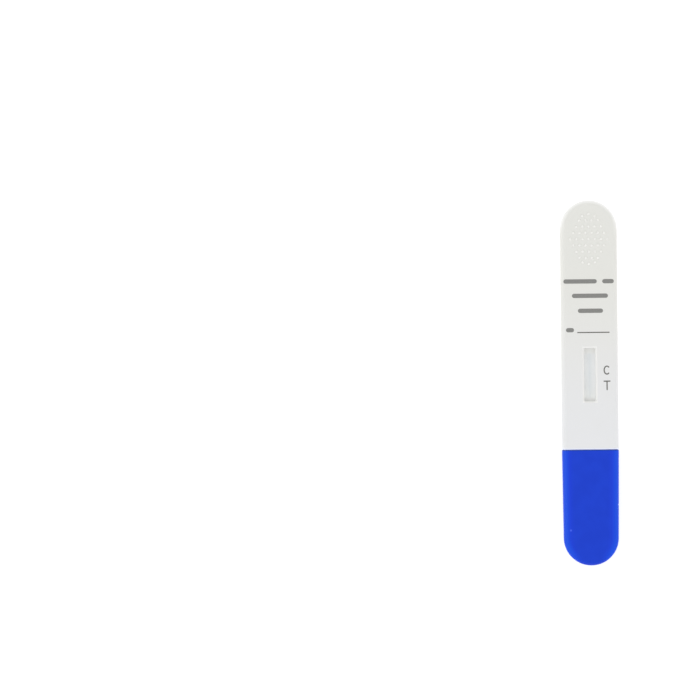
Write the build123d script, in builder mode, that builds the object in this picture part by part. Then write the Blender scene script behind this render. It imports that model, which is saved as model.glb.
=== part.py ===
from build123d import *
import os
from math import cos, radians, sin, tan

# Pen-shaped saliva test with a pull-off cap: two white shells hold a lateral flow strip under a
# reading window, and a collection wick reaches out of the nose into the cap.
# It lies on its back. X is across, +Y runs to the grip end, +Z comes out of the front face,
# and the origin is the middle of the underside. Lengths are in millimetres.

# Outside form
body_length = 83.6
cap_length = 38.8
mouth_gap = 0.1
width = 19.0
thickness = 6.6
face_edge_radius = 1.6
back_edge_radius = 1.1
shoulder_chamfer = 0.2
draft_angle = 0.58

# Shells
shell_wall = 1.2
parting_height = 3.2
parting_chamfer = 0.1
lip_thickness = 0.5
lip_height = 0.6
lip_gap = 0.05

# Cap and the nose that it grips
cap_step = 0.04
cap_wall = 1.0
cap_fit = 0.1
cap_inner_chamfer = 0.4
cap_mouth_chamfer = 0.15
nose_length = 14.0
nose_wall = 0.8
nose_end_wall = 1.2
nose_corner = 2.5
nose_edge_chamfer = 0.4
grip_rib_width = 0.7
grip_rib_length = 9.0
grip_rib_height = 0.06
grip_rib_from_side = 2.0

# Reading window
window_width = 3.85
window_length = 17.8
window_from_shoulder = 25.1
window_corner = 0.35
window_bevel = 0.5
window_frame_wall = 0.8
window_frame_gap = 0.05

# Strip: layers on one backing card
strip_width = 4.0
strip_fit = 0.1
card_thickness = 0.3
card_length = 62.0
card_start_in_nose = 6.65
membrane_thickness = 0.2
membrane_margin = 1.3
absorbent_thickness = 0.9
absorbent_end_margin = 1.25
conjugate_thickness = 0.4
conjugate_length = 9.0
sample_thickness = 0.55
sample_end_gap = 0.4
sample_top_gap = 0.05
lap = 1.5
sample_lap = 2.5
lap_ramp = 0.6
lap_gap = 0.05

# Collection wick
wick_width = 8.0
wick_reach = 15.0
wick_edge_chamfer = 0.45
wick_side_fit = 0.2
wick_end_gap = 0.3
wick_slot_gap = 0.05

# Pins of the front shell in sockets of the rear shell
pin_radius = 0.8
pin_fit = 0.02
pin_end_gap = 0.2
boss_wall = 0.7
boss_top_gap = 0.05
socket_floor = 0.3
boss_side_gap = 0.33
pin_rows_from_shoulder = (5.0, 36.0, 62.0)
tip_pin_from_tip = 8.0

# Strip seat in the rear shell and pressing bars in the front shell
rail_thickness = 0.7
rail_above_card = 0.15
seat_rib_thickness = 0.8
seat_rib_count = 8
seat_rib_margin = 1.5
bar_thickness = 0.8
bar_gap = 0.02
bar_width = 8.0
stiffener_thickness = 0.8
stiffener_gap = 0.3
stiffener_count = 2

# Wall between the wick channel and the pockets beside it
pocket_rib = 0.8

# Grip dots, in staggered rows that make a rounded hexagon
dot_radius = 0.45
dot_height = 0.22
dot_taper = 38
dot_sides = 12
dot_pitch = 2.06
dot_row_pitch = 2.1
dot_widest_row = 7
dot_rows_each_way = 4
dot_end_pull = 0.65
dots_from_tip = 13.0

# Places along the stick and through its thickness
overall_length = body_length + mouth_gap + cap_length
y_tip = overall_length / 2
y_grip_centre = y_tip - width / 2
y_shoulder = y_tip - body_length
y_mouth = y_shoulder - mouth_gap
y_cap_end = y_mouth - cap_length
y_nose_end = y_shoulder - nose_length
y_window = y_shoulder + window_from_shoulder

slope = radians(draft_angle)
cap_thickness = thickness - 2 * cap_step
nose_bottom = cap_step + cap_wall + cap_fit
nose_top = thickness - nose_bottom
nose_floor = nose_bottom + nose_wall
nose_ceiling = nose_top - nose_wall
nose_half_end = width / 2 - cap_wall - cap_fit - nose_length * tan(slope)
ceiling = thickness - shell_wall

wick_top = nose_ceiling - sample_top_gap - sample_thickness
wick_thickness = wick_top - nose_floor
card_top = wick_top
card_bottom = card_top - card_thickness
membrane_top = card_top + membrane_thickness
rail_top = card_top + rail_above_card

y_card_start = y_shoulder - card_start_in_nose
y_card_end = y_card_start + card_length
y_strip_stop = y_card_end + strip_fit + rail_thickness
y_wick_end = y_card_start - wick_end_gap
y_wick_tip = y_nose_end - wick_reach
membrane_length = window_length + 2 * (window_frame_wall + membrane_margin + lap)
y_membrane_start = y_window - membrane_length / 2
y_membrane_end = y_window + membrane_length / 2
y_conjugate_end = y_membrane_start + lap
y_conjugate_start = y_conjugate_end - conjugate_length
y_sample_end = y_conjugate_start + sample_lap
y_sample_start = y_nose_end + nose_end_wall + sample_end_gap
y_absorbent_start = y_membrane_end - lap
y_absorbent_end = y_card_end - absorbent_end_margin

rail_inner = strip_width / 2 + strip_fit
rail_outer = rail_inner + rail_thickness
channel_half = wick_width / 2 + wick_side_fit
rear_inset = shell_wall + lip_gap + lip_thickness
boss_radius = pin_radius + pin_fit + boss_wall
pin_offset = width / 2 - rear_inset - boss_radius - boss_side_gap
pin_spots = [(side * pin_offset, y_shoulder + row) for row in pin_rows_from_shoulder for side in (-1, 1)]
pin_spots.append((0, y_tip - tip_pin_from_tip))


def rectangle(x_low, x_high, y_low, y_high):
    """Sketch of a rectangle between four limits."""
    with BuildSketch() as plan:
        with Locations(((x_low + x_high) / 2, (y_low + y_high) / 2)):
            Rectangle(x_high - x_low, y_high - y_low)
    return plan.sketch


def body_plan(inset=0.0):
    """Outline of the body, inset all round: straight shoulder, parallel sides and a half-round grip end."""
    half = width / 2 - inset
    y_low = y_shoulder + inset
    with BuildSketch() as plan:
        with BuildLine():
            Polyline((-half, y_grip_centre), (-half, y_low), (half, y_low), (half, y_grip_centre))
            ThreePointArc((half, y_grip_centre), (0, y_grip_centre + half), (-half, y_grip_centre))
        make_face()
    return plan.sketch


def drafted_plan(half_width, y_open, y_end):
    """Outline that narrows by the draft from an open end at y_open to a tangent round end at y_end."""
    radius = (half_width * cos(slope) - (y_open - y_end) * sin(slope)) / (1 - sin(slope))
    tangent_y = y_end + radius - radius * sin(slope)
    left_tangent = (-radius * cos(slope), tangent_y)
    right_tangent = (radius * cos(slope), tangent_y)
    with BuildSketch() as plan:
        with BuildLine():
            Polyline(left_tangent, (-half_width, y_open), (half_width, y_open), right_tangent)
            ThreePointArc(right_tangent, (0, y_end), left_tangent)
        make_face()
    return plan.sketch


def nose_plan():
    """Outline of the nose, which starts inside the body's shoulder wall and narrows with the cap's draft."""
    half_start = nose_half_end + (nose_length + shell_wall) * tan(slope)
    start_corners = [(half_start, y_shoulder + shell_wall), (-half_start, y_shoulder + shell_wall)]
    end_corners = [(-nose_half_end, y_nose_end), (nose_half_end, y_nose_end)]
    with BuildSketch() as plan:
        with BuildLine():
            Polyline(*start_corners, *end_corners, close=True)
        make_face()
        fillet(plan.vertices().group_by(Axis.Y)[0], nose_corner)
    return plan.sketch


def nose_pockets():
    """The two pockets beside the wick channel, left open to the parting plane."""
    inner = channel_half + pocket_rib
    outer = nose_half_end - nose_end_wall
    with BuildSketch() as plan:
        for x_low, x_high in ((-outer, -inner), (inner, outer)):
            add(rectangle(x_low, x_high, y_nose_end + nose_end_wall, y_shoulder - nose_end_wall))
    return plan.sketch


def grip_ribs():
    """Low ribs along a nose face, which the cap grips."""
    y_low = y_shoulder - grip_rib_length - nose_end_wall
    outer = nose_half_end - grip_rib_from_side
    inner = outer - grip_rib_width
    with BuildSketch() as plan:
        for x_low, x_high in ((-outer, -inner), (inner, outer)):
            add(rectangle(x_low, x_high, y_low, y_low + grip_rib_length))
    return plan.sketch


def seat_rails():
    """Rails beside the backing card, joined by the stop at its end."""
    with BuildSketch() as plan:
        add(rectangle(-rail_outer, rail_outer, y_card_start, y_strip_stop))
        add(rectangle(-rail_inner, rail_inner, y_card_start, y_card_end + strip_fit), mode=Mode.SUBTRACT)
    return plan.sketch


def seat_ribs():
    """Ribs under the backing card, evenly spaced between its two ends."""
    spacing = (card_length - 2 * seat_rib_margin) / (seat_rib_count - 1)
    with BuildSketch() as plan:
        for place in range(seat_rib_count):
            with Locations((0, y_card_start + seat_rib_margin + place * spacing)):
                Rectangle(2 * rail_inner, seat_rib_thickness)
    return plan.sketch


def dot_spots():
    """Centres of the grip dots: staggered rows, with the outer dots of both end rows pulled inwards."""
    spots = []
    y_centre = y_tip - dots_from_tip
    for row in range(-dot_rows_each_way, dot_rows_each_way + 1):
        count = dot_widest_row - abs(row)
        for place in range(count):
            x = (place - (count - 1) / 2) * dot_pitch
            y = y_centre + row * dot_row_pitch
            outer = place in (0, count - 1)
            if abs(row) == dot_rows_each_way and outer:
                y -= dot_end_pull * row / abs(row)
            spots.append((x, y))
    return spots


def lapped_pad(tail, lap_end, lower_end, lift, pad_thickness):
    """Side view of a pad that lies on the card from its tail and climbs over a lower layer to lap_end."""
    way = 1 if lap_end > tail else -1
    foot = lower_end - way * (lap_gap + lap_ramp)
    crest = lower_end - way * lap_gap
    under = [(tail, card_top), (foot, card_top), (crest, card_top + lift), (lap_end, card_top + lift)]
    over = [(y, z + pad_thickness) for y, z in reversed(under)]
    with BuildSketch() as side_view:
        with BuildLine():
            Polyline(*under, *over, close=True)
        make_face()
    return side_view.sketch


# Rear shell: floor, walls with a locating lip, nose half, strip seat and pin sockets
with BuildPart() as rear_housing:
    with BuildSketch():
        add(body_plan())
    extrude(amount=parting_height)
    fillet(rear_housing.edges().group_by(Axis.Z)[0].sort_by(Axis.Y)[1:], back_edge_radius)
    chamfer(rear_housing.edges().group_by(Axis.Z)[-1].sort_by(Axis.Y)[1:], parting_chamfer)
    chamfer(rear_housing.faces().sort_by(Axis.Y)[0].edges().sort_by(Axis.Z)[0], shoulder_chamfer)
    with BuildSketch(Plane.XY.offset(nose_bottom)):
        add(nose_plan())
    extrude(amount=parting_height - nose_bottom)
    nose_underside = rear_housing.faces().filter_by(Plane.XY).sort_by(Axis.Z)[1]
    chamfer(nose_underside.edges().sort_by(Axis.Y)[:-1], nose_edge_chamfer)

    with BuildSketch(Plane.XY.offset(shell_wall)):
        add(body_plan(rear_inset))
    extrude(amount=parting_height - shell_wall, mode=Mode.SUBTRACT)
    with BuildSketch(Plane.XY.offset(parting_height)):
        add(body_plan(shell_wall + lip_gap))
        add(body_plan(rear_inset), mode=Mode.SUBTRACT)
    extrude(amount=lip_height)
    with BuildSketch(Plane.XY.offset(nose_floor)):
        add(rectangle(-channel_half, channel_half, y_nose_end - nose_end_wall, y_shoulder + rear_inset))
        add(nose_pockets())
    extrude(amount=thickness - nose_floor, mode=Mode.SUBTRACT)

    floor_root = shell_wall / 2
    nose_root = nose_floor - nose_wall / 2
    seat_zones = [(nose_root, y_card_start, y_shoulder), (floor_root, y_shoulder, y_strip_stop)]
    for root, y_low, y_high in seat_zones:
        stretch = rectangle(-channel_half, channel_half, y_low, y_high)
        with BuildSketch(Plane.XY.offset(root)):
            add(seat_rails())
            add(stretch, mode=Mode.INTERSECT)
        extrude(amount=rail_top - root)
        with BuildSketch(Plane.XY.offset(root)):
            add(seat_ribs())
            add(stretch, mode=Mode.INTERSECT)
        extrude(amount=card_bottom - root)

    with BuildSketch(Plane.XY.offset(floor_root)):
        with Locations(*pin_spots):
            Circle(boss_radius)
    extrude(amount=parting_height - boss_top_gap - floor_root)
    with BuildSketch(Plane.XY.offset(shell_wall + socket_floor)):
        with Locations(*pin_spots):
            Circle(pin_radius + pin_fit)
    extrude(amount=thickness, mode=Mode.SUBTRACT)

    with BuildSketch(Plane.XY.offset(nose_bottom - grip_rib_height)):
        add(grip_ribs())
    extrude(amount=grip_rib_height + nose_wall / 2)
rear_housing.part.label = "rear_housing"

# Front shell: face with the reading window and grip dots, nose half, pins and pressing bars
with BuildPart() as front_housing:
    with BuildSketch(Plane.XY.offset(parting_height)):
        add(body_plan())
    extrude(amount=thickness - parting_height)
    fillet(front_housing.edges().group_by(Axis.Z)[-1].sort_by(Axis.Y)[1:], face_edge_radius)
    chamfer(front_housing.edges().group_by(Axis.Z)[0].sort_by(Axis.Y)[1:], parting_chamfer)
    chamfer(front_housing.faces().sort_by(Axis.Y)[0].edges().sort_by(Axis.Z)[-1], shoulder_chamfer)
    with BuildSketch(Plane.XY.offset(parting_height)):
        add(nose_plan())
    extrude(amount=nose_top - parting_height)
    nose_topside = front_housing.faces().filter_by(Plane.XY).sort_by(Axis.Z)[-2]
    chamfer(nose_topside.edges().sort_by(Axis.Y)[:-1], nose_edge_chamfer)
    with BuildSketch(Plane.XY.offset(parting_height)):
        add(body_plan(shell_wall))
    extrude(amount=ceiling - parting_height, mode=Mode.SUBTRACT)
    with BuildSketch(Plane.XY.offset(parting_height)):
        add(rectangle(-channel_half, channel_half, y_nose_end + nose_end_wall, y_shoulder + shell_wall))
        add(nose_pockets())
    extrude(amount=nose_ceiling - parting_height, mode=Mode.SUBTRACT)
    with BuildSketch(Plane.XY.offset(parting_height)):
        add(rectangle(-channel_half, channel_half, y_nose_end - nose_end_wall, y_nose_end + nose_end_wall))
    extrude(amount=wick_top + wick_slot_gap - parting_height, mode=Mode.SUBTRACT)

    frame_bottom = membrane_top + window_frame_gap
    with BuildSketch(Plane.XY.offset(frame_bottom)):
        with Locations((0, y_window)):
            Rectangle(window_width + 2 * window_frame_wall, window_length + 2 * window_frame_wall)
    extrude(amount=ceiling - frame_bottom)
    with BuildSketch(Plane.XY.offset(frame_bottom)):
        with Locations((0, y_window)):
            RectangleRounded(window_width, window_length, window_corner)
    extrude(amount=thickness - frame_bottom, mode=Mode.SUBTRACT)
    window_rim = front_housing.faces().filter_by(Plane.XY).sort_by(Axis.Z)[-1].inner_wires()[0]
    chamfer(window_rim.edges(), window_bevel)

    pin_length = ceiling - (shell_wall + socket_floor + pin_end_gap)
    with BuildSketch(Plane.XY.offset(ceiling)):
        with Locations(*pin_spots):
            Circle(pin_radius)
    extrude(amount=-pin_length)
    sample_crest = card_top + conjugate_thickness + sample_thickness
    y_sample_bar = (y_conjugate_start + y_sample_end) / 2
    with BuildSketch(Plane.XY.offset(sample_crest + bar_gap)):
        with Locations((0, y_sample_bar)):
            Rectangle(bar_width, bar_thickness)
    extrude(amount=ceiling - sample_crest - bar_gap)
    absorbent_top = card_top + absorbent_thickness
    y_absorbent_bar = (y_membrane_end + y_absorbent_end) / 2
    with BuildSketch(Plane.XY.offset(absorbent_top + bar_gap)):
        with Locations((0, y_absorbent_bar)):
            Rectangle(bar_width, bar_thickness)
    extrude(amount=ceiling - absorbent_top - bar_gap)
    stiffener_depth = ceiling - (parting_height + lip_height + stiffener_gap)
    y_bay_end = y_tip - tip_pin_from_tip - boss_radius
    stiffener_spacing = (y_bay_end - y_strip_stop) / (stiffener_count + 1)
    with BuildSketch(Plane.XY.offset(ceiling)):
        for place in range(1, stiffener_count + 1):
            with Locations((0, y_strip_stop + place * stiffener_spacing)):
                Rectangle(width - 2 * rear_inset, stiffener_thickness)
        add(body_plan(rear_inset), mode=Mode.INTERSECT)
    extrude(amount=-stiffener_depth)

    with BuildSketch(Plane.XY.offset(nose_top - nose_wall / 2)):
        add(grip_ribs())
    extrude(amount=grip_rib_height + nose_wall / 2)
    with BuildSketch(Plane.XY.offset(thickness)):
        with Locations(*dot_spots()):
            RegularPolygon(dot_radius, dot_sides)
    extrude(amount=dot_height, taper=dot_taper)
front_housing.part.label = "front_housing"

# Inside of the cap, with the bevelled edges of its core
with BuildPart() as cap_hollow:
    with BuildSketch(Plane.XY.offset(cap_step + cap_wall)):
        add(drafted_plan(width / 2 - cap_wall, y_mouth, y_cap_end + cap_wall))
    extrude(amount=cap_thickness - 2 * cap_wall)
    core_edges = cap_hollow.edges().filter_by(Axis.Z, reverse=True).filter_by(Axis.X, reverse=True)
    chamfer(core_edges, cap_inner_chamfer)

# Cap: drafted sleeve with a round closed end, its faces a small step inside the body's
with BuildPart() as cap:
    with BuildSketch(Plane.XY.offset(cap_step)):
        add(drafted_plan(width / 2, y_mouth, y_cap_end))
    extrude(amount=cap_thickness)
    fillet(cap.edges().group_by(Axis.Z)[-1].filter_by(Axis.X, reverse=True), face_edge_radius)
    fillet(cap.edges().group_by(Axis.Z)[0].filter_by(Axis.X, reverse=True), back_edge_radius)
    chamfer(cap.faces().sort_by(Axis.Y)[-1].edges(), cap_mouth_chamfer)
    add(cap_hollow.part, mode=Mode.SUBTRACT)
cap.part.label = "cap"

# Backing card that carries the strip's layers
with BuildPart() as backing_card:
    with BuildSketch(Plane.XY.offset(card_bottom)):
        add(rectangle(-strip_width / 2, strip_width / 2, y_card_start, y_card_end))
    extrude(amount=card_thickness)
backing_card.part.label = "backing_card"

# Nitrocellulose membrane under the window
with BuildPart() as membrane:
    with BuildSketch(Plane.XY.offset(card_top)):
        add(rectangle(-strip_width / 2, strip_width / 2, y_membrane_start, y_membrane_end))
    extrude(amount=membrane_thickness)
membrane.part.label = "membrane"

# Absorbent pad that draws the sample past the window
with BuildPart() as absorbent_pad:
    with BuildSketch(Plane.YZ.offset(-strip_width / 2)):
        lift = membrane_thickness
        add(lapped_pad(y_absorbent_end, y_absorbent_start, y_membrane_end, lift, absorbent_thickness))
    extrude(amount=strip_width)
absorbent_pad.part.label = "absorbent_pad"

# Conjugate pad with the dried latex, lapped onto the membrane
with BuildPart() as conjugate_pad:
    with BuildSketch(Plane.YZ.offset(-strip_width / 2)):
        lift = membrane_thickness
        add(lapped_pad(y_conjugate_start, y_conjugate_end, y_membrane_start, lift, conjugate_thickness))
    extrude(amount=strip_width)
conjugate_pad.part.label = "conjugate_pad"

# Sample pad, lapped onto the conjugate pad and resting on the wick
with BuildPart() as sample_pad:
    with BuildSketch(Plane.YZ.offset(-strip_width / 2)):
        lift = conjugate_thickness
        add(lapped_pad(y_sample_start, y_sample_end, y_conjugate_start, lift, sample_thickness))
    extrude(amount=strip_width)
sample_pad.part.label = "sample_pad"

# Collection wick with a round tip
with BuildPart() as collection_wick:
    with BuildSketch(Plane.XY.offset(nose_floor)):
        with BuildLine():
            half = wick_width / 2
            y_round = y_wick_tip + half
            Polyline((-half, y_round), (-half, y_wick_end), (half, y_wick_end), (half, y_round))
            ThreePointArc((half, y_round), (0, y_wick_tip), (-half, y_round))
        make_face()
    extrude(amount=wick_thickness)
    wick_edges = collection_wick.edges().filter_by(Axis.Z, reverse=True).filter_by(Axis.X, reverse=True)
    chamfer(wick_edges, wick_edge_chamfer)
collection_wick.part.label = "collection_wick"

os.makedirs("parts", exist_ok=True)
export_step(rear_housing.part, "parts/rear_housing.step")
export_step(front_housing.part, "parts/front_housing.step")
export_step(cap.part, "parts/cap.step")
export_step(backing_card.part, "parts/backing_card.step")
export_step(membrane.part, "parts/membrane.step")
export_step(absorbent_pad.part, "parts/absorbent_pad.step")
export_step(conjugate_pad.part, "parts/conjugate_pad.step")
export_step(sample_pad.part, "parts/sample_pad.step")
export_step(collection_wick.part, "parts/collection_wick.step")
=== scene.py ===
import math

import bpy
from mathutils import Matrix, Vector, noise


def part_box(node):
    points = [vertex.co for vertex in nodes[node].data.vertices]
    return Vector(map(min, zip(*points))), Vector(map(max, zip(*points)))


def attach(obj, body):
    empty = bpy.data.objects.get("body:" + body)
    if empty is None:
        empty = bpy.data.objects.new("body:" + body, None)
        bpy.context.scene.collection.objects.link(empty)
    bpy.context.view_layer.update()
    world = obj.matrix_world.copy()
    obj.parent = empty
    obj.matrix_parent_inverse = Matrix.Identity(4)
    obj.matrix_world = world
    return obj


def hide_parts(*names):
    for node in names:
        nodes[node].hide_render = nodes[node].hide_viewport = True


# Looks of a capped lateral flow test stick, laid on its back and seen from straight above.
# Lengths are in metres. +Y runs to the dotted grip end and +Z comes out of the face with the window.
# Tones were tuned to the photograph in this light, so some of its shading is painted in the colours.

MM = 0.001

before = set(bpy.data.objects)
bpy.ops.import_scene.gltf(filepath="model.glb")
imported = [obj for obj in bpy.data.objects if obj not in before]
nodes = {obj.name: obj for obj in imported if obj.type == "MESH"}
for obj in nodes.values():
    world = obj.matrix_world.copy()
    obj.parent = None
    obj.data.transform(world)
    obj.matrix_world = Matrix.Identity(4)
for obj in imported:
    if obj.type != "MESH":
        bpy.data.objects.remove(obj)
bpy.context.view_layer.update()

# Boxes of the solids that the looks line up with
shell_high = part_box("front_housing")[1]
cap_low, cap_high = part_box("cap")
membrane_low, membrane_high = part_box("membrane")
wick_low, wick_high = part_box("collection_wick")

# Shell
DOT_HEIGHT = 0.22 * MM
PARTING_Z = 3.2 * MM
FACE_Z = shell_high.z - DOT_HEIGHT
TIP_Y = shell_high.y
HALF_WIDTH = shell_high.x
GRIP_ROUND_Y = TIP_Y - HALF_WIDTH
GRAIN_SIZE = 0.22 * MM

# Cap
MOUTH_GAP = 0.1 * MM
CAP_HALF_WIDTH = cap_high.x
CAP_MOUTH_Y = cap_high.y
CAP_END_Y = cap_low.y
CAP_TOP_Z = cap_high.z
CAP_DRAFT = math.tan(math.radians(0.58))
SHOULDER_Y = CAP_MOUTH_Y + MOUTH_GAP

# Window
WINDOW_LENGTH = 17.8 * MM
WINDOW_WIDTH = 3.85 * MM
WINDOW_BEVEL = 0.5 * MM
WINDOW_Y = (membrane_low.y + membrane_high.y) / 2
WINDOW_TOP_Y = WINDOW_Y + WINDOW_LENGTH / 2
WINDOW_FOOT_Y = WINDOW_Y - WINDOW_LENGTH / 2
WINDOW_RIM_X = WINDOW_WIDTH / 2 + WINDOW_BEVEL
WINDOW_RIM_Y = WINDOW_LENGTH / 2 + WINDOW_BEVEL

# Printing
INK_FILM = 0.012 * MM
LETTER_X = 5.7 * MM
LETTER_WIDTH = 2.25 * MM
LETTER_LINE = 0.4 * MM
BAR_HEIGHT = 1.45 * MM

# The photograph's frame: the pixels of the stick's tip and of its middle line, the scale and the lean.
# They were fitted to the outline in the photograph, so they are no measure of the stick's size.
PHOTO_SIDE = 700
TIP_PIXEL_Y = 200.3
AXIS_PIXEL_X = 589.72
METRES_PER_PIXEL = 0.3353 * MM
LEAN = math.radians(0.57)
CAMERA_DISTANCE = 2.5
SENSOR_WIDTH = 36.0


class Wire:
    """A shader socket in an expression: each operator adds the Math node that it stands for."""

    def __init__(self, finish, socket):
        self.finish = finish
        self.socket = socket

    def output(self, name):
        """Another output of the node that this wire comes from."""
        return Wire(self.finish, self.socket.node.outputs[name])

    def __add__(self, other):
        return self.finish.calculate("ADD", self, other)

    def __radd__(self, other):
        return self.finish.calculate("ADD", other, self)

    def __sub__(self, other):
        return self.finish.calculate("SUBTRACT", self, other)

    def __rsub__(self, other):
        return self.finish.calculate("SUBTRACT", other, self)

    def __mul__(self, other):
        return self.finish.calculate("MULTIPLY", self, other)

    def __rmul__(self, other):
        return self.finish.calculate("MULTIPLY", other, self)

    def __abs__(self):
        return self.finish.calculate("ABSOLUTE", self)

    def least(self, other):
        """The smaller of this and another value."""
        return self.finish.calculate("MINIMUM", self, other)

    def most(self, other):
        """The larger of this and another value."""
        return self.finish.calculate("MAXIMUM", self, other)


class Finish:
    """A procedural material: nodes are added by type, and the surface shader takes the results."""

    def __init__(self, name, **constants):
        self.material = bpy.data.materials.new(name)
        self.material.use_nodes = True
        self.tree = self.material.node_tree
        self.shader = self.tree.nodes["Principled BSDF"]
        for socket, value in constants.items():
            self.shader.inputs[socket.replace("_", " ")].default_value = value
        self.place = self.node("ShaderNodeTexCoord", output="Object")
        split = self.node("ShaderNodeSeparateXYZ", inputs={0: self.place})
        self.x, self.y, self.z = (split.output(axis) for axis in "XYZ")

    def node(self, kind, settings=None, inputs=None, output=0):
        """Adds a node, sets it up, feeds its sockets and returns one of its outputs as a wire."""
        added = self.tree.nodes.new(kind)
        for setting, value in (settings or {}).items():
            if setting == "stops":
                self.fill_ramp(added.color_ramp, value)
            else:
                setattr(added, setting, value)
        for socket, value in (inputs or {}).items():
            if isinstance(value, Wire):
                self.tree.links.new(value.socket, added.inputs[socket])
            else:
                added.inputs[socket].default_value = value
        return Wire(self, added.outputs[output])

    def calculate(self, operation, *values):
        """The result of a Math node fed with these values or wires."""
        return self.node("ShaderNodeMath", {"operation": operation}, dict(enumerate(values)))

    def distance(self, across, along):
        """How far away a point is that lies this far across and this far along."""
        return self.calculate("SQRT", across * across + along * along)

    @staticmethod
    def fill_ramp(ramp, stops):
        """Sets a ramp's stops from pairs of place and colour."""
        while len(ramp.elements) < len(stops):
            ramp.elements.new(1.0)
        for element, (place, colour) in zip(ramp.elements, stops):
            element.position = place
            element.color = (*colour, 1.0)

    def noise(self, size, detail=2.0, roughness=0.5, stretch=(1.0, 1.0, 1.0)):
        """Noise from 0 to 1 with grains about one size across, drawn out by a stretch along each axis."""
        scaled = self.node(
            "ShaderNodeVectorMath",
            {"operation": "DIVIDE"},
            {0: self.place, 1: tuple(size * part for part in stretch)},
        )
        sockets = {"Vector": scaled, "Scale": 1.0, "Detail": detail, "Roughness": roughness}
        return self.node("ShaderNodeTexNoise", inputs=sockets)

    def ramp(self, value, *stops):
        """A colour that follows a value through these stops."""
        return self.node("ShaderNodeValToRGB", {"stops": stops}, {0: value})

    def step(self, value, start, end):
        """0 where a value is at start, 1 where it is at end, and smooth between."""
        return self.node(
            "ShaderNodeMapRange",
            {"interpolation_type": "SMOOTHSTEP"},
            {"Value": value, "From Min": start, "From Max": end},
        )

    def blend(self, factor, first, second):
        """Colour that goes from first to second as the factor goes from 0 to 1."""
        return self.node(
            "ShaderNodeMix",
            {"data_type": "RGBA"},
            {0: factor, 6: self.rgba(first), 7: self.rgba(second)},
            output=2,
        )

    @staticmethod
    def rgba(colour):
        """A colour with its alpha, or the wire that carries one."""
        return colour if isinstance(colour, Wire) else (*colour, 1.0)

    def spot(self, x, y, radius, soft):
        """1 inside a round spot as seen from above, at any height, and 0 outside its soft rim."""
        away = self.distance(self.x - x, self.y - y)
        return self.step(away, radius + soft, radius)

    def bump(self, height, depth, strength):
        """Normal of a relief whose height runs from 0 to 1 over a depth in metres."""
        sockets = {"Height": height, "Distance": depth, "Strength": strength}
        return self.node("ShaderNodeBump", inputs=sockets)

    def surface(self, **wires):
        """Feeds the shader's own sockets and returns the finished material."""
        for socket, wire in wires.items():
            self.tree.links.new(wire.socket, self.shader.inputs[socket.replace("_", " ")])
        return self.material


def painted_light_drift(finish, clouds):
    """Slow drift of painted light along the shell, cooler by the cap and warmer at the grip, with faint
    clouds.
    """
    shoulder_light_tone = (0.69, 0.697, 0.71)
    middle_tone = (0.69, 0.69, 0.673)
    grip_light_tone = (0.682, 0.682, 0.648)
    cloud_tone = (0.64, 0.64, 0.62)
    along = finish.step(finish.y, SHOULDER_Y, TIP_Y)
    drift = finish.ramp(along, (0.0, shoulder_light_tone), (0.42, middle_tone), (0.75, grip_light_tone))
    cloud_strength = (clouds - 0.5).most(0.0) * 0.5
    return finish.blend(cloud_strength, drift, cloud_tone)


def dot_highlight(finish, tone):
    """Painted highlight on the tops of the grip dots, where they catch the light."""
    dot_highlight_tone = (0.78, 0.78, 0.75)
    low_z = FACE_Z + 0.02 * MM
    high_z = FACE_Z + 0.12 * MM
    return finish.blend(finish.step(finish.z, low_z, high_z), tone, dot_highlight_tone)


def window_painted_light(finish, tone):
    """Painted light: a lighter bevel round the window, and lighter still down its walls."""
    bevel_highlight_tone = (0.76, 0.76, 0.745)
    wall_light_tone = (0.88, 0.88, 0.87)
    rim_soft = 0.1 * MM
    wall_start_z = FACE_Z - 0.4 * MM
    wall_full_z = FACE_Z - 0.7 * MM
    across = finish.step(abs(finish.x), WINDOW_RIM_X + rim_soft, WINDOW_RIM_X)
    along = finish.step(abs(finish.y - WINDOW_Y), WINDOW_RIM_Y + rim_soft, WINDOW_RIM_Y)
    bevel = across * along
    tone = finish.blend(bevel, tone, bevel_highlight_tone)
    wall = finish.step(finish.z, wall_start_z, wall_full_z)
    return finish.blend(bevel * wall, tone, wall_light_tone)


def shoulder_highlight(finish, tone):
    """Painted pale blue highlight on the shell's edge over the cap's mouth. It has no lower end, so it tints
    the nose too.
    """
    blue_highlight_tone = (0.72, 0.76, 0.9)
    fade_start = 0.5 * MM
    fade_end = 0.3 * MM
    tinted = finish.step(finish.y, SHOULDER_Y + fade_start, SHOULDER_Y + fade_end)
    return finish.blend(tinted, tone, blue_highlight_tone)


def seam_shade(finish, tone):
    """Painted shade in the seam where the two shells meet."""
    seam_shadow_tone = (0.4, 0.4, 0.39)
    seam_end = 0.12 * MM
    seam_full = 0.05 * MM
    seam_strength = 0.6
    seam = finish.step(abs(finish.z - PARTING_Z), seam_end, seam_full)
    return finish.blend(seam * seam_strength, tone, seam_shadow_tone)


def grip_rim_highlight(finish, tone):
    """Painted highlight: a lighter rim round the grip end, which fades in from the straight sides."""
    painted_rim_tone = (0.8, 0.8, 0.785)
    rim_width = 1.5 * MM
    fade_start_y = GRIP_ROUND_Y - 2.0 * MM
    fade_end_y = GRIP_ROUND_Y + 3.0 * MM
    past_round = (finish.y - GRIP_ROUND_Y).most(0.0)
    inside = HALF_WIDTH - finish.distance(finish.x, past_round)
    rim = finish.step(inside, start=rim_width, end=0.0)
    fade = finish.step(finish.y, fade_start_y, fade_end_y)
    return finish.blend(rim * fade, tone, painted_rim_tone)


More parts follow.
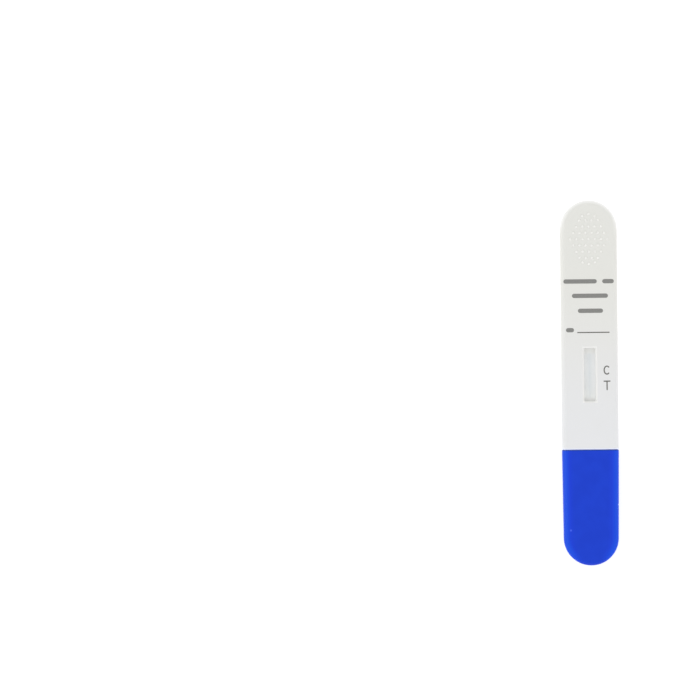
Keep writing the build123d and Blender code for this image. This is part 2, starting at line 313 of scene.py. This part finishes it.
def white_plastic():
    """Warm white moulded shell with a fine grain. Painted light and shade lie along it and on its dots,
    rims, window, seam and nose.
    """
    finish = Finish("white_plastic_finish", Specular_IOR_Level=0.42)
    clouds = finish.noise(7 * MM, detail=3.0, roughness=0.55, stretch=(1.0, 1.6, 1.0))
    grain = finish.noise(GRAIN_SIZE, detail=3.0, roughness=0.6)
    pitting = finish.noise(0.9 * MM)
    tone = painted_light_drift(finish, clouds)
    for shade in (dot_highlight, window_painted_light, shoulder_highlight, seam_shade, grip_rim_highlight):
        tone = shade(finish, tone)
    return finish.surface(
        Base_Color=tone,
        Roughness=0.42 + grain * 0.12 + clouds * 0.06,
        Normal=finish.bump(grain * 0.7 + pitting * 0.3, depth=0.012 * MM, strength=0.55),
    )


def side_highlight_bands(finish, tone):
    """Painted highlights: two lighter bands inside each other along the cap's sides, which follow its
    drafted outline.
    """
    wide_highlight_tone = (0.005, 0.041, 0.61)
    narrow_highlight_tone = (0.004, 0.064, 0.65)
    middle_end_x = 3.0 * MM
    side_full_x = 7.5 * MM
    round_y = CAP_END_Y + CAP_HALF_WIDTH
    past_round = (finish.y - round_y).least(0.0)
    drafted_half_width = CAP_HALF_WIDTH - (CAP_MOUTH_Y - finish.y) * CAP_DRAFT
    inside = drafted_half_width - finish.distance(finish.x, past_round)
    beside = finish.step(abs(finish.x), middle_end_x, side_full_x)
    wide_band = finish.step(inside, start=4.2 * MM, end=1.5 * MM)
    narrow_band = finish.step(inside, start=2.6 * MM, end=0.8 * MM)
    tone = finish.blend(wide_band * beside, tone, wide_highlight_tone)
    return finish.blend(narrow_band * beside, tone, narrow_highlight_tone)


def mouth_shade(finish, tone):
    """Painted shade: a darker rim at the cap's mouth, where the gap to the shell is in shadow."""
    painted_rim_tone = (0.01, 0.05, 0.34)
    rim_start_y = CAP_MOUTH_Y - 0.5 * MM
    rim_full_y = CAP_MOUTH_Y - 0.15 * MM
    rim_strength = 0.8
    rim = finish.step(finish.y, rim_start_y, rim_full_y)
    return finish.blend(rim * rim_strength, tone, painted_rim_tone)


def cap_fleck(finish, tone):
    """One pale fleck low on the left of the cap. It goes through to the back as well."""
    fleck_tone = (0.07, 0.14, 0.8)
    fleck_x = -6.9 * MM
    fleck_y = -49.4 * MM
    fleck_strength = 0.7
    fleck = finish.spot(fleck_x, fleck_y, radius=0.2 * MM, soft=0.25 * MM)
    return finish.blend(fleck * fleck_strength, tone, fleck_tone)


def cap_nick(finish, tone):
    """One nick half way along the cap's right edge, near its face."""
    nick_tone = (0.35, 0.42, 0.8)
    nick_y = -40.9 * MM
    along = finish.step(abs(finish.y - nick_y), start=0.3 * MM, end=0.1 * MM)
    across = finish.step(finish.x, start=8.9 * MM, end=9.1 * MM)
    up = finish.step(finish.z, start=CAP_TOP_Z - 1.5 * MM, end=CAP_TOP_Z - 1.2 * MM)
    return finish.blend(along * across * up, tone, nick_tone)


def blue_plastic():
    """Deep blue moulded cap with a satin grain. Its bands of painted highlight, its rim of painted shade and
    its marks are painted by place.
    """
    finish = Finish("blue_plastic_finish", Specular_IOR_Level=0.2)
    deep_tone = (0.003, 0.038, 0.52)
    bright_tone = (0.004, 0.042, 0.55)
    clouds = finish.noise(6 * MM)
    grain = finish.noise(0.25 * MM, detail=3.0, roughness=0.6)
    tone = finish.blend(finish.step(clouds, start=0.3, end=0.7), deep_tone, bright_tone)
    for shade in (side_highlight_bands, mouth_shade, cap_fleck, cap_nick):
        tone = shade(finish, tone)
    return finish.surface(
        Base_Color=tone,
        Roughness=0.4 + grain * 0.14,
        Normal=finish.bump(grain, depth=0.012 * MM, strength=0.55),
    )


def low_streaks(finish, tone):
    """Pale streaks along the lower part of the window."""
    streak_tone = (0.92, 0.93, 0.91)
    fade_start_y = WINDOW_FOOT_Y + 5.5 * MM
    fade_end_y = WINDOW_FOOT_Y + 1.5 * MM
    streaks = finish.noise(0.5 * MM, detail=3.0, roughness=0.6, stretch=(1.0, 9.0, 1.0))
    low_part = finish.step(finish.y, fade_start_y, fade_end_y)
    streak = finish.step(streaks, start=0.35, end=0.7)
    return finish.blend((0.3 + streak * 0.5) * low_part, tone, streak_tone)


def end_shades(finish, tone):
    """Painted shadow with a ragged edge across each end of the window, where the membrane runs under the
    frame.
    """
    top_shadow_tone = (0.81, 0.805, 0.78)
    foot_shadow_tone = (0.73, 0.73, 0.71)
    top_strength = 0.85
    foot_strength = 0.9
    raggedness = 0.5 * MM
    wander = finish.noise(0.8 * MM, detail=3.0, roughness=0.6) - 0.5
    ragged_y = finish.y + wander * raggedness
    top_band = finish.step(ragged_y, start=WINDOW_TOP_Y - 2.4 * MM, end=WINDOW_TOP_Y - 1.0 * MM)
    foot_band = finish.step(ragged_y, start=WINDOW_FOOT_Y + 1.7 * MM, end=WINDOW_FOOT_Y + 0.3 * MM)
    tone = finish.blend(top_band * top_strength, tone, top_shadow_tone)
    return finish.blend(foot_band * foot_strength, tone, foot_shadow_tone)


def nitrocellulose():
    """Porous membrane sheet in the window, with painted light that makes it a little paler along both sides.
    """
    finish = Finish("nitrocellulose_finish", Specular_IOR_Level=0.15)
    side_light_tone = (0.82, 0.83, 0.83)
    middle_tone = (0.73, 0.76, 0.77)
    pore_tone = (0.6, 0.62, 0.64)
    across = finish.step(finish.x, -WINDOW_WIDTH / 2, WINDOW_WIDTH / 2)
    tone = finish.ramp(across, (0.0, side_light_tone), (0.5, middle_tone), (1.0, side_light_tone))
    tone = low_streaks(finish, tone)
    tone = end_shades(finish, tone)
    pores = finish.noise(0.09 * MM, detail=4.0, roughness=0.7)
    return finish.surface(
        Base_Color=finish.blend(pores * 0.18, tone, pore_tone),
        Roughness=0.82 + pores * 0.12,
        Normal=finish.bump(pores, depth=0.02 * MM, strength=0.6),
    )


def fibre(name, light, dark, thread=0.12 * MM):
    """Pressed fibre: long threads that cross at two scales, darker between them."""
    finish = Finish(name, Specular_IOR_Level=0.1)
    thread_run = 8.0
    crossing_size = 1.4 * thread
    threads = finish.noise(thread, detail=4.0, roughness=0.65, stretch=(1.0, thread_run, 1.0))
    crossing = finish.noise(crossing_size, detail=3.0, roughness=0.6, stretch=(thread_run, 1.0, 1.0))
    mat = threads.most(crossing)
    clumps = finish.noise(1.4 * MM)
    tone = finish.blend(finish.step(mat, start=0.4, end=0.75), dark, light)
    tone = finish.blend(clumps * 0.2, tone, dark)
    return finish.surface(
        Base_Color=tone,
        Roughness=0.8 + threads * 0.15,
        Normal=finish.bump(mat, depth=0.05 * MM, strength=0.8),
    )


def card_plastic():
    """White sheet of the backing card, with fine draw lines along its length."""
    finish = Finish("card_plastic_finish", Specular_IOR_Level=0.4)
    sheet_tone = (0.84, 0.84, 0.83)
    line_tone = (0.74, 0.74, 0.73)
    lines = finish.noise(0.1 * MM, stretch=(1.0, 30.0, 1.0))
    return finish.surface(
        Base_Color=finish.blend(lines * 0.3, sheet_tone, line_tone),
        Roughness=0.35 + lines * 0.15,
        Normal=finish.bump(lines, depth=0.006 * MM, strength=0.5),
    )


def print_ink(name, tone, paler):
    """Pad-printed ink: a thin film with worn, paler places where the grain shows through."""
    finish = Finish(name, Specular_IOR_Level=0.35)
    worn = finish.noise(0.35 * MM, detail=3.0, roughness=0.6)
    grain = finish.noise(GRAIN_SIZE, detail=3.0, roughness=0.6)
    return finish.surface(
        Base_Color=finish.blend(finish.step(worn, start=0.45, end=0.8), tone, paler),
        Roughness=0.45 + grain * 0.15,
        Normal=finish.bump(grain, depth=0.01 * MM, strength=0.5),
    )


def paper_floor():
    """Pale matte floor that gives off some light of its own, as a light table does."""
    white = (1.0, 1.0, 1.0, 1.0)
    finish = Finish("floor_finish", Specular_IOR_Level=0.2, Emission_Color=white, Emission_Strength=0.62)
    darker = (0.54, 0.54, 0.54)
    lighter = (0.56, 0.56, 0.56)
    mottle = finish.noise(60 * MM)
    return finish.surface(
        Base_Color=finish.blend(mottle, darker, lighter),
        Roughness=0.7 + mottle * 0.1,
    )


def dress(node, material):
    """Gives a solid its material in every slot."""
    for slot in nodes[node].material_slots:
        slot.material = material


def mesh_piece(name, points, faces, material, slot, body="housing"):
    """A mesh that rides on a body and takes the given finish. The slot that it is given is not used."""
    mesh = bpy.data.meshes.new(name)
    mesh.from_pydata(points, [], faces)
    mesh.update()
    piece = bpy.data.objects.new(name, mesh)
    bpy.context.scene.collection.objects.link(piece)
    mesh.materials.append(material)
    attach(piece, body)
    return piece


def raised(ring):
    """Points and faces of an ink film with this outline, its foot sunk a little into the front face."""
    count = len(ring)
    foot = [(x, y, FACE_Z - INK_FILM) for x, y in ring]
    top = [(x, y, FACE_Z + INK_FILM) for x, y in ring]
    faces = [tuple(range(count, 2 * count))]
    for place in range(count):
        after = (place + 1) % count
        faces.append((place, after, count + after, count + place))
    return foot + top, faces


def stroke(path, thickness):
    """Points and faces of an inked stroke along a path on the front face."""
    half = thickness / 2
    left, right = [], []
    for place, (x, y) in enumerate(path):
        before = path[max(place - 1, 0)]
        after = path[min(place + 1, len(path) - 1)]
        along = (Vector(after) - Vector(before)).normalized()
        side = Vector((-along.y, along.x)) * half
        left.append((x + side.x, y + side.y))
        right.append((x - side.x, y - side.y))
    return raised(right + left[::-1])


def round_bar(x_low, x_high, y, height):
    """Outline of a bar with round ends, anticlockwise."""
    radius = height / 2
    steps = 8
    ring = []
    for centre_x, start in ((x_high - radius, -math.pi / 2), (x_low + radius, math.pi / 2)):
        for place in range(steps + 1):
            angle = start + math.pi * place / steps
            ring.append((centre_x + radius * math.cos(angle), y + radius * math.sin(angle)))
    return ring


def set_camera():
    """Camera straight above the face, turned and placed so that the stick lies as in the photograph."""
    centre = PHOTO_SIDE / 2
    across = (centre - AXIS_PIXEL_X) * METRES_PER_PIXEL
    axis_y = TIP_Y - (centre - TIP_PIXEL_Y) * METRES_PER_PIXEL
    camera_x = across * math.cos(LEAN)
    camera_y = axis_y - across * math.sin(LEAN)
    lens_data = bpy.data.cameras.new("camera")
    lens_data.sensor_width = SENSOR_WIDTH
    lens_data.lens = SENSOR_WIDTH * CAMERA_DISTANCE / (PHOTO_SIDE * METRES_PER_PIXEL)
    camera = bpy.data.objects.new("camera", lens_data)
    camera.location = (camera_x, camera_y, FACE_Z + CAMERA_DISTANCE)
    camera.rotation_euler = (0.0, 0.0, -LEAN)
    bpy.context.scene.collection.objects.link(camera)
    bpy.context.scene.camera = camera


def area_light(name, place, size, power, glossy=True):
    """A rectangular soft light at a place, turned towards the stick, with or without a glare on it."""
    data = bpy.data.lights.new(name, "AREA")
    data.shape = "RECTANGLE"
    data.size, data.size_y = size
    data.energy = power
    light = bpy.data.objects.new(name, data)
    light.location = place
    light.rotation_euler = (-Vector(place)).to_track_quat("-Z", "Y").to_euler()
    light.visible_camera = False
    light.visible_glossy = glossy
    bpy.context.scene.collection.objects.link(light)


def set_lights():
    """White surroundings and soft boxes along both sides and past both ends, without a film curve."""
    bpy.context.scene.view_settings.view_transform = "Standard"
    world = bpy.data.worlds.new("studio")
    world.use_nodes = True
    background = world.node_tree.nodes["Background"]
    background.inputs["Color"].default_value = (1.0, 1.0, 1.0, 1.0)
    background.inputs["Strength"].default_value = 0.84
    bpy.context.scene.world = world
    side_size = (0.3, 1.2)
    end_size = (1.2, 0.4)
    area_light("left_light", (-0.7, 0.0, 0.2), side_size, power=1.2, glossy=False)
    area_light("right_light", (0.7, 0.0, 0.2), side_size, power=1.7, glossy=False)
    area_light("window_light", (-0.6, 0.0, 0.6), (0.35, 1.2), power=1.1)
    area_light("grip_end_light", (0.0, 0.9, 0.5), end_size, power=1.0)
    area_light("cap_end_light", (0.0, -0.9, 0.3), end_size, power=2.0, glossy=False)


def lay_floor():
    """Plain pale floor, a hair below the stick's back so that the two don't share a plane."""
    half = 3.0
    floor_z = -0.01 * MM
    corners = [
        (-half, -half, floor_z),
        (half, -half, floor_z),
        (half, half, floor_z),
        (-half, half, floor_z),
    ]
    mesh = bpy.data.meshes.new("floor")
    mesh.from_pydata(corners, [], [(0, 1, 2, 3)])
    floor = bpy.data.objects.new("floor", mesh)
    bpy.context.scene.collection.objects.link(floor)
    mesh.materials.append(paper_floor())


def control_letter(ink):
    """The letter C beside the place of the control line, as an open oval arc."""
    middle_y = 4.25 * MM
    height = 3.07 * MM
    half_width = (LETTER_WIDTH - LETTER_LINE) / 2
    half_height = (height - LETTER_LINE) / 2
    opening = math.radians(42)
    turn = 2 * (math.pi - opening)
    steps = 28
    arc = []
    for place in range(steps + 1):
        angle = opening + turn * place / steps
        arc.append((LETTER_X + half_width * math.cos(angle), middle_y + half_height * math.sin(angle)))
    mesh_piece("control_letter", *stroke(arc, LETTER_LINE), ink, "white_plastic")


def test_letter(ink):
    """The letter T beside the place of the test line."""
    middle_y = -0.85 * MM
    half_height = 1.6 * MM
    top = middle_y + half_height
    foot = middle_y - half_height
    under_arms = top - LETTER_LINE
    stem = LETTER_LINE / 2
    arm = LETTER_WIDTH / 2
    outline = [
        (LETTER_X - stem, foot),
        (LETTER_X + stem, foot),
        (LETTER_X + stem, under_arms),
        (LETTER_X + arm, under_arms),
        (LETTER_X + arm, top),
        (LETTER_X - arm, top),
        (LETTER_X - arm, under_arms),
        (LETTER_X - stem, under_arms),
    ]
    mesh_piece("test_letter", *raised(outline), ink, "white_plastic")


def write_on_line(ink):
    """The line on the face that a name or number is written on."""
    line_y = 16.93 * MM
    line_from_x = -4.1 * MM
    line_to_x = 6.7 * MM
    line_thickness = 0.36 * MM
    line = [(line_from_x, line_y), (line_to_x, line_y)]
    mesh_piece("write_on_line", *stroke(line, line_thickness), ink, "white_plastic")


def bar_row(name, y, stretches, ink):
    """Plain printed bars along one row, which stand where the real stick has words."""
    points, faces = [], []
    for x_low, x_high in stretches:
        bar_points, bar_faces = raised(round_bar(x_low * MM, x_high * MM, y * MM, BAR_HEIGHT))
        faces += [tuple(len(points) + corner for corner in face) for face in bar_faces]
        points += bar_points
    mesh_piece(name, points, faces, ink, "white_plastic")


def print_marks():
    """The printing on the face: control and test letters, a line to write on, and bars in place of words."""
    ink = print_ink("ink_finish", tone=(0.11, 0.11, 0.1), paler=(0.18, 0.18, 0.17))
    pale_ink = print_ink("pale_ink_finish", tone=(0.2, 0.2, 0.19), paler=(0.26, 0.26, 0.25))
    control_letter(ink)
    test_letter(ink)
    write_on_line(ink)
    # Each row's place along the stick and the stretches of its bars across it, in millimetres
    rows = {
        "first_bar_row": (34.07, [(-8.6, 2.6), (4.4, 8.3)]),
        "second_bar_row": (29.23, [(-5.8, 6.3)]),
        "third_bar_row": (24.2, [(-3.85, 4.6)]),
        "line_label": (17.75, [(-7.9, -5.2)]),
    }
    for name, (y, stretches) in rows.items():
        bar_row(name, y, stretches, pale_ink)


def soft_wick(material):
    """Bonded fibre wick: a soft-edged pad with a round tip, grooved along its fibres."""
    half_width = (wick_high.x - wick_low.x) / 2
    half_height = (wick_high.z - wick_low.z) / 2
    middle_z = (wick_high.z + wick_low.z) / 2
    length = wick_high.y - wick_low.y
    around = 150
    squareness = 0.38
    soft_end = 0.9 * MM
    tip_steps = 24
    step = 0.2 * MM
    groove_depth = 0.09 * MM
    groove_width = 0.35 * MM
    groove_run = 4.0 * MM

    stations = []
    for place in range(1, tip_steps):
        stations.append(half_width * (1 - math.cos(math.pi / 2 * place / tip_steps)))
    while stations[-1] < length:
        stations.append(min(stations[-1] + step, length))

    points = [(0.0, wick_low.y, middle_z)]
    for from_tip in stations:
        y = wick_low.y + from_tip
        inside = max(1 - from_tip / half_width, 0.0)
        width_here = half_width * math.sqrt(1 - inside * inside)
        thin_end = max(1 - from_tip / soft_end, 0.0)
        height_here = half_height * math.sqrt(1 - thin_end * thin_end)
        for corner in range(around):
            angle = 2 * math.pi * corner / around
            across = math.copysign(abs(math.cos(angle)) ** squareness, math.cos(angle))
            up = math.copysign(abs(math.sin(angle)) ** squareness, math.sin(angle))
            groove_x = across * width_here / groove_width
            groove_z = up * height_here / groove_width
            ripple = 0.5 + 0.5 * noise.noise(Vector((groove_x, y / groove_run, groove_z)))
            groove = groove_depth * ripple * (1 - thin_end)
            points.append((across * (width_here - groove), y, middle_z + up * (height_here - groove)))

    faces = [(0, 1 + (corner + 1) % around, 1 + corner) for corner in range(around)]
    for ring in range(len(stations) - 1):
        start = 1 + ring * around
        for corner in range(around):
            after = (corner + 1) % around
            faces.append((start + corner, start + after, start + around + after, start + around + corner))
    last = 1 + (len(stations) - 1) * around
    faces.append(tuple(range(last, last + around)))
    wick = mesh_piece("soft_wick", points, faces, material, "wick_fibre")
    wick.data.shade_smooth()
    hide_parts("collection_wick")


set_camera()
set_lights()
lay_floor()

shell_finish = white_plastic()
dress("front_housing", shell_finish)
dress("rear_housing", shell_finish)
dress("cap", blue_plastic())
dress("backing_card", card_plastic())
dress("membrane", nitrocellulose())
dress("absorbent_pad", fibre("cotton_finish", light=(0.86, 0.85, 0.82), dark=(0.66, 0.65, 0.62)))
dress("conjugate_pad", fibre("conjugate_finish", light=(0.66, 0.42, 0.46), dark=(0.44, 0.24, 0.28)))
dress("sample_pad", fibre("sample_finish", light=(0.85, 0.85, 0.83), dark=(0.66, 0.66, 0.64)))
soft_wick(fibre("wick_finish", light=(0.87, 0.86, 0.82), dark=(0.66, 0.65, 0.6), thread=0.18 * MM))
print_marks()
